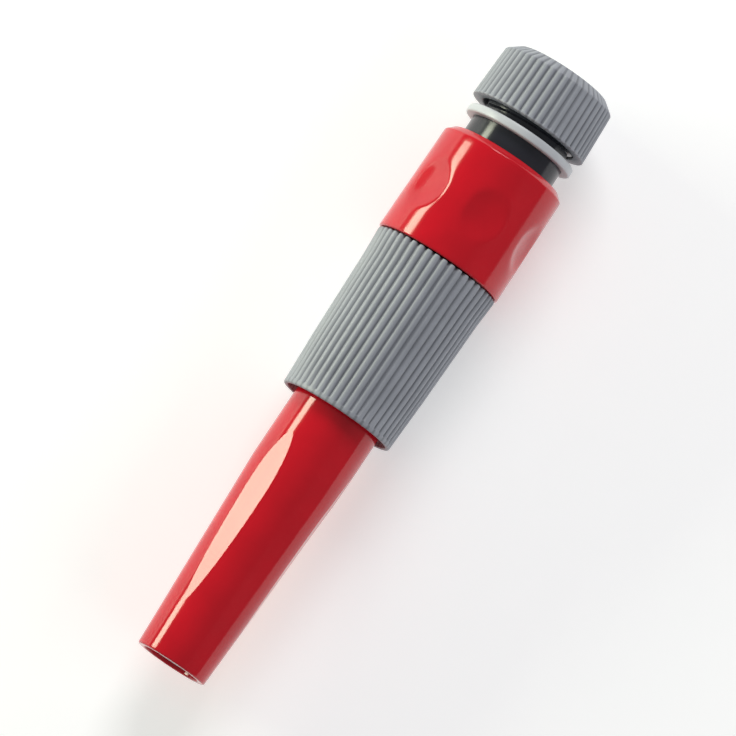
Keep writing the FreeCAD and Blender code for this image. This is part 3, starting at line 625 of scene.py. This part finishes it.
# %% Spindle
SPOKES = 4
rod_outline = [(80.1, 0.4, 0), (80.1, 1.6, 0.4), (82.1, 2.5, 1.0), (150.0, 2.2, 0), (155.1, 3.9, 0.6),
               (157.6, 3.9, 0.2), (157.6, 3.3, 0), (159.2, 3.3, 0), (159.2, 4.3, 0.15), (160.0, 4.3, 0.3),
               (161.6, 2.9, 0.5), (162.6, 1.2, 0.4), (163.0, 0.25, 0)]
rod = turned("spindle_rod", rounded(rod_outline), 64, solid=True)
for k in range(SPOKES):
    spoke = soft_block("spoke", middle=(83.85, 0, 3.2), size=(7.5, 1.4, 3.4), bevel=0.15)
    spoke.rotation_euler.x = (k + 0.5) * TURN / SPOKES
    apply_boolean(rod, spoke, "UNION")
hub_outline = [(80.1, 4.4, 0.15), (80.1, 5.28, 0.2), (87.6, 5.28, 0.2), (87.6, 4.4, 0.15)]
apply_boolean(rod, turned("hub", rounded(hub_outline), 64), "UNION")
smooth(rod, 35)
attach(rod, "nozzle")
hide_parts("spindle")
print("spindle faces:", len(rod.data.polygons))

# %% [markdown]
# ## Floor and light
# The nozzle lies on a pale floor. A long low soft box stands on the left of the picture. It draws the
# thin bright line along the red parts and fills the nearer flat. A high soft box behind the hose end
# lights the tops, so that each step throws a short shadow forwards. A weak fill on the right lifts the
# shaded side; it is hidden from reflections, so that it draws no second line. The floor is a lit white
# table, which gives the parts their bright rims.

# %% Floor
start_fresh()
bpy.ops.mesh.primitive_plane_add(size=4, location=(0, 0, low.z))
floor = bpy.context.object
floor.name = "floor"
print("floor height in mm:", round(low.z / MM, 2))


# %% Lights
def soft_box(name, place, target, width, height, radiance, tint=(1.0, 1.0, 1.0)):
    """Rectangular area light; radiance is the brightness of its face."""
    data = bpy.data.lights.new(name, "AREA")
    data.shape = "RECTANGLE"
    data.size, data.size_y = width, height
    data.energy = radiance * math.pi * width * height
    data.color = tint
    lamp = bpy.data.objects.new(name, data)
    bpy.context.scene.collection.objects.link(lamp)
    lamp.location = place
    lamp.rotation_euler = (Vector(target) - Vector(place)).to_track_quat("-Z", "Y").to_euler()
    lamp.visible_camera = False
    return lamp


soft_box("low_box", place=(0.09, -0.425, 0.127), target=(0.09, 0, 0), width=0.28, height=0.12,
         radiance=13.0, tint=(0.95, 1.0, 0.78))
soft_box("rear_box", place=(-0.80, -0.30, 0.80), target=(0.08, 0, 0), width=0.6, height=0.5, radiance=8.1)
side_fill = soft_box("side_fill", place=(0.12, 0.70, 0.42), target=(0.08, 0, 0), width=0.8, height=0.5,
                     radiance=1.45)
side_fill.visible_glossy = False

world = bpy.data.worlds.new("studio")
world.use_nodes = True
world.node_tree.nodes["Background"].inputs["Color"].default_value = (0.95, 0.97, 1.0, 1)
world.node_tree.nodes["Background"].inputs["Strength"].default_value = 0.20
bpy.context.scene.world = world
bpy.context.scene.view_settings.view_transform = "Standard"

# %% [markdown]
# ## Finishes
# Every finish is procedural and reads Object coordinates, which lie still on a part because every
# object sits at the origin. Moulded plastic has a fine grain that the mould leaves, a gloss that
# changes slowly from place to place, and a colour that isn't perfectly even.

# %% Moulded plastic
PLASTIC_IOR = 1.49
GROOVE_SHADE_TINT, GROOVE_BASE_LEFT = 0.18, 0.55     # colour of the painted shade as a share of the base colour, and the least share of the base colour left in a groove


def node(tree, kind, **values):
    """Adds a node and sets its inputs by name."""
    made = tree.nodes.new(kind)
    for name, value in values.items():
        made.inputs[name.replace("_", " ")].default_value = value
    return made


def noise(tree, scale, detail=2.0):
    """Noise over the part, in cycles to a metre."""
    texture = node(tree, "ShaderNodeTexNoise", Scale=scale, Detail=detail)
    tree.links.new(tree.nodes["place"].outputs["Object"], texture.inputs["Vector"])
    return texture.outputs["Fac"]


def mapped(tree, value, low_in, high_in, low_out, high_out):
    """A value mapped from one range to another."""
    ramp = node(tree, "ShaderNodeMapRange")
    for socket, number in zip(ramp.inputs[1:5], (low_in, high_in, low_out, high_out)):
        socket.default_value = number
    tree.links.new(value, ramp.inputs["Value"])
    return ramp.outputs["Result"]


def groove_shade(tree, ribs, darkest):
    """Factor for the painted shade, which falls from 1 on the ribs to darkest in the grooves between them.
    """
    parts = tree.nodes.new("ShaderNodeSeparateXYZ")
    tree.links.new(tree.nodes["place"].outputs["Object"], parts.inputs["Vector"])
    angle = tree.nodes.new("ShaderNodeMath")
    angle.operation = "ARCTAN2"
    tree.links.new(parts.outputs["Y"], angle.inputs[0])
    tree.links.new(parts.outputs["Z"], angle.inputs[1])
    turns = tree.nodes.new("ShaderNodeMath")
    turns.operation = "MULTIPLY"
    turns.inputs[1].default_value = ribs
    tree.links.new(angle.outputs["Value"], turns.inputs[0])
    wave = tree.nodes.new("ShaderNodeMath")
    wave.operation = "COSINE"
    tree.links.new(turns.outputs["Value"], wave.inputs[0])
    return mapped(tree, wave.outputs["Value"], 0.1, 0.9, 1.0, darkest)


def plastic(name, colour, gloss, grain, unevenness=0.05, wave=0.0, ribs=0):
    """Moulded plastic. gloss is (smoothest, roughest); grain is (size, depth) of the mould's grain in
    millimetres; wave is the depth of slow waves in a polished face; ribs is the number of ribs round
    a grip, whose grooves get a painted shade."""
    material = bpy.data.materials.new(name)
    material.use_nodes = True
    tree = material.node_tree
    shader = tree.nodes["Principled BSDF"]
    shader.inputs["IOR"].default_value = PLASTIC_IOR
    place = tree.nodes.new("ShaderNodeTexCoord")
    place.name = "place"

    darker = [c * (1 - unevenness) for c in colour] + [1]
    lighter = [min(1, c * (1 + unevenness)) for c in colour] + [1]
    mix = tree.nodes.new("ShaderNodeMix")
    mix.data_type = "RGBA"
    mix.inputs["A"].default_value = darker
    mix.inputs["B"].default_value = lighter
    tree.links.new(mapped(tree, noise(tree, 130, 4), 0.3, 0.7, 0, 1), mix.inputs["Factor"])
    base = mix.outputs["Result"]
    # Painted shade: the colour is darkened towards the middle of each groove between the ribs.
    if ribs:
        painted_groove_shade = tree.nodes.new("ShaderNodeMix")
        painted_groove_shade.data_type = "RGBA"
        painted_groove_shade.inputs["A"].default_value = [c * GROOVE_SHADE_TINT for c in colour] + [1]
        tree.links.new(base, painted_groove_shade.inputs["B"])
        tree.links.new(groove_shade(tree, ribs, GROOVE_BASE_LEFT), painted_groove_shade.inputs["Factor"])
        base = painted_groove_shade.outputs["Result"]
    tree.links.new(base, shader.inputs["Base Color"])

    smoothest, roughest = gloss
    roughness = mapped(tree, noise(tree, 60, 5), 0.35, 0.65, smoothest, roughest)
    tree.links.new(roughness, shader.inputs["Roughness"])

    size, depth = grain
    bump = node(tree, "ShaderNodeBump", Distance=depth * MM, Strength=1.0)
    tree.links.new(noise(tree, 1 / (size * MM), 3), bump.inputs["Height"])
    if wave:
        slow = node(tree, "ShaderNodeBump", Distance=wave * MM, Strength=1.0)
        tree.links.new(noise(tree, 90, 1), slow.inputs["Height"])
        tree.links.new(slow.outputs["Normal"], bump.inputs["Normal"])
    tree.links.new(bump.outputs["Normal"], shader.inputs["Normal"])
    return material


# %% [markdown]
# ## The plastics, the rubber and the floor
# The red parts come from a polished mould, so they are nearly smooth, with slow waves and a thin clear
# gloss. The grips come from an etched mould, which leaves them satin, and shade is painted into the
# grooves between their ribs. The inner parts are plain greys, the seals are dull black, and the floor is
# painted white.

# %% Plastics, rubber and floor
red_gloss = plastic("red_gloss_plastic", colour=(0.58, 0.004, 0.014), gloss=(0.08, 0.15),
                    grain=(0.5, 0.002), unevenness=0.05, wave=0.05)
red_shader = red_gloss.node_tree.nodes["Principled BSDF"]
red_shader.inputs["Coat Weight"].default_value = 0.1
red_shader.inputs["Coat Roughness"].default_value = 0.06
GRIP = {"colour": (0.33, 0.345, 0.385), "gloss": (0.42, 0.55), "grain": (0.22, 0.02), "unevenness": 0.06}
grip_grey = plastic("satin_grip_plastic", **GRIP)
nut_grey = plastic("ribbed_nut_plastic", **GRIP, ribs=NUT_RIBS)
collar_grey = plastic("ribbed_collar_plastic", **GRIP, ribs=COLLAR_RIBS)
light_grey = plastic("light_grey_plastic", colour=(0.55, 0.57, 0.60), gloss=(0.28, 0.38),
                     grain=(0.25, 0.01), unevenness=0.05)
# near-black grey; on the core's thread in the gap behind the nut it also serves as painted shade
dark_grey = plastic("dark_grey_plastic", colour=(0.022, 0.024, 0.032), gloss=(0.12, 0.2),
                    grain=(0.25, 0.006), unevenness=0.08)
rubber = plastic("black_rubber", colour=(0.014, 0.014, 0.015), gloss=(0.5, 0.62),
                 grain=(0.15, 0.006), unevenness=0.1)
floor_paint = plastic("pale_floor", colour=(0.80, 0.80, 0.80), gloss=(0.6, 0.7),
                      grain=(0.8, 0.01), unevenness=0.004)
floor_shader = floor_paint.node_tree.nodes["Principled BSDF"]
floor_shader.inputs["Emission Color"].default_value = (1, 1, 1, 1)
floor_shader.inputs["Emission Strength"].default_value = 0.38
print("finishes so far:", [material.name for material in bpy.data.materials if material.use_nodes])

# %% [markdown]
# ## Spring steel
# Spring wire is drawn through a die, which leaves fine lines along it and a bright, slightly
# streaked gloss.

# %% Spring steel
def spring_steel():
    """Bright drawn wire."""
    material = bpy.data.materials.new("spring_steel_wire")
    material.use_nodes = True
    tree = material.node_tree
    shader = tree.nodes["Principled BSDF"]
    shader.inputs["Metallic"].default_value = 1.0
    shader.inputs["Base Color"].default_value = (0.56, 0.56, 0.58, 1)
    place = tree.nodes.new("ShaderNodeTexCoord")
    place.name = "place"
    tree.links.new(mapped(tree, noise(tree, 1500, 4), 0.3, 0.7, 0.18, 0.34), shader.inputs["Roughness"])
    bump = node(tree, "ShaderNodeBump", Distance=0.004 * MM, Strength=1.0)
    tree.links.new(noise(tree, 4000, 2), bump.inputs["Height"])
    tree.links.new(bump.outputs["Normal"], shader.inputs["Normal"])
    return material


steel = spring_steel()
print("nodes in the steel:", len(steel.node_tree.nodes))

# %% [markdown]
# ## Giving every piece its finish
# The record names a finish for each part of the design, and a table here matches those names to the
# materials. The parts that still show as they were designed get theirs first, then the new pieces.

# %% Give every piece its finish
def finish_with(piece, material):
    """Puts one material on the whole piece."""
    piece.data.materials.clear()
    piece.data.materials.append(material)


FINISHES = {"grip_grey": grip_grey, "light_grey": light_grey, "dark_grey": dark_grey, "red_gloss": red_gloss,
            "seal_rubber": rubber, "spring_steel": steel}
for part in frame["record"]["subparts"]:
    cad = frame["nodes"][part["node"]]
    for slot in cad.material_slots:
        slot.material = FINISHES[part["material_slot"]]
for piece, material in ((nut, nut_grey), (sleeve, red_gloss), (collar, collar_grey), (tip, red_gloss),
                        (core, dark_grey), (flange, light_grey), (collet, light_grey), (spring, steel),
                        (outlet, light_grey), (rod, light_grey), (floor, floor_paint)):
    finish_with(piece, material)
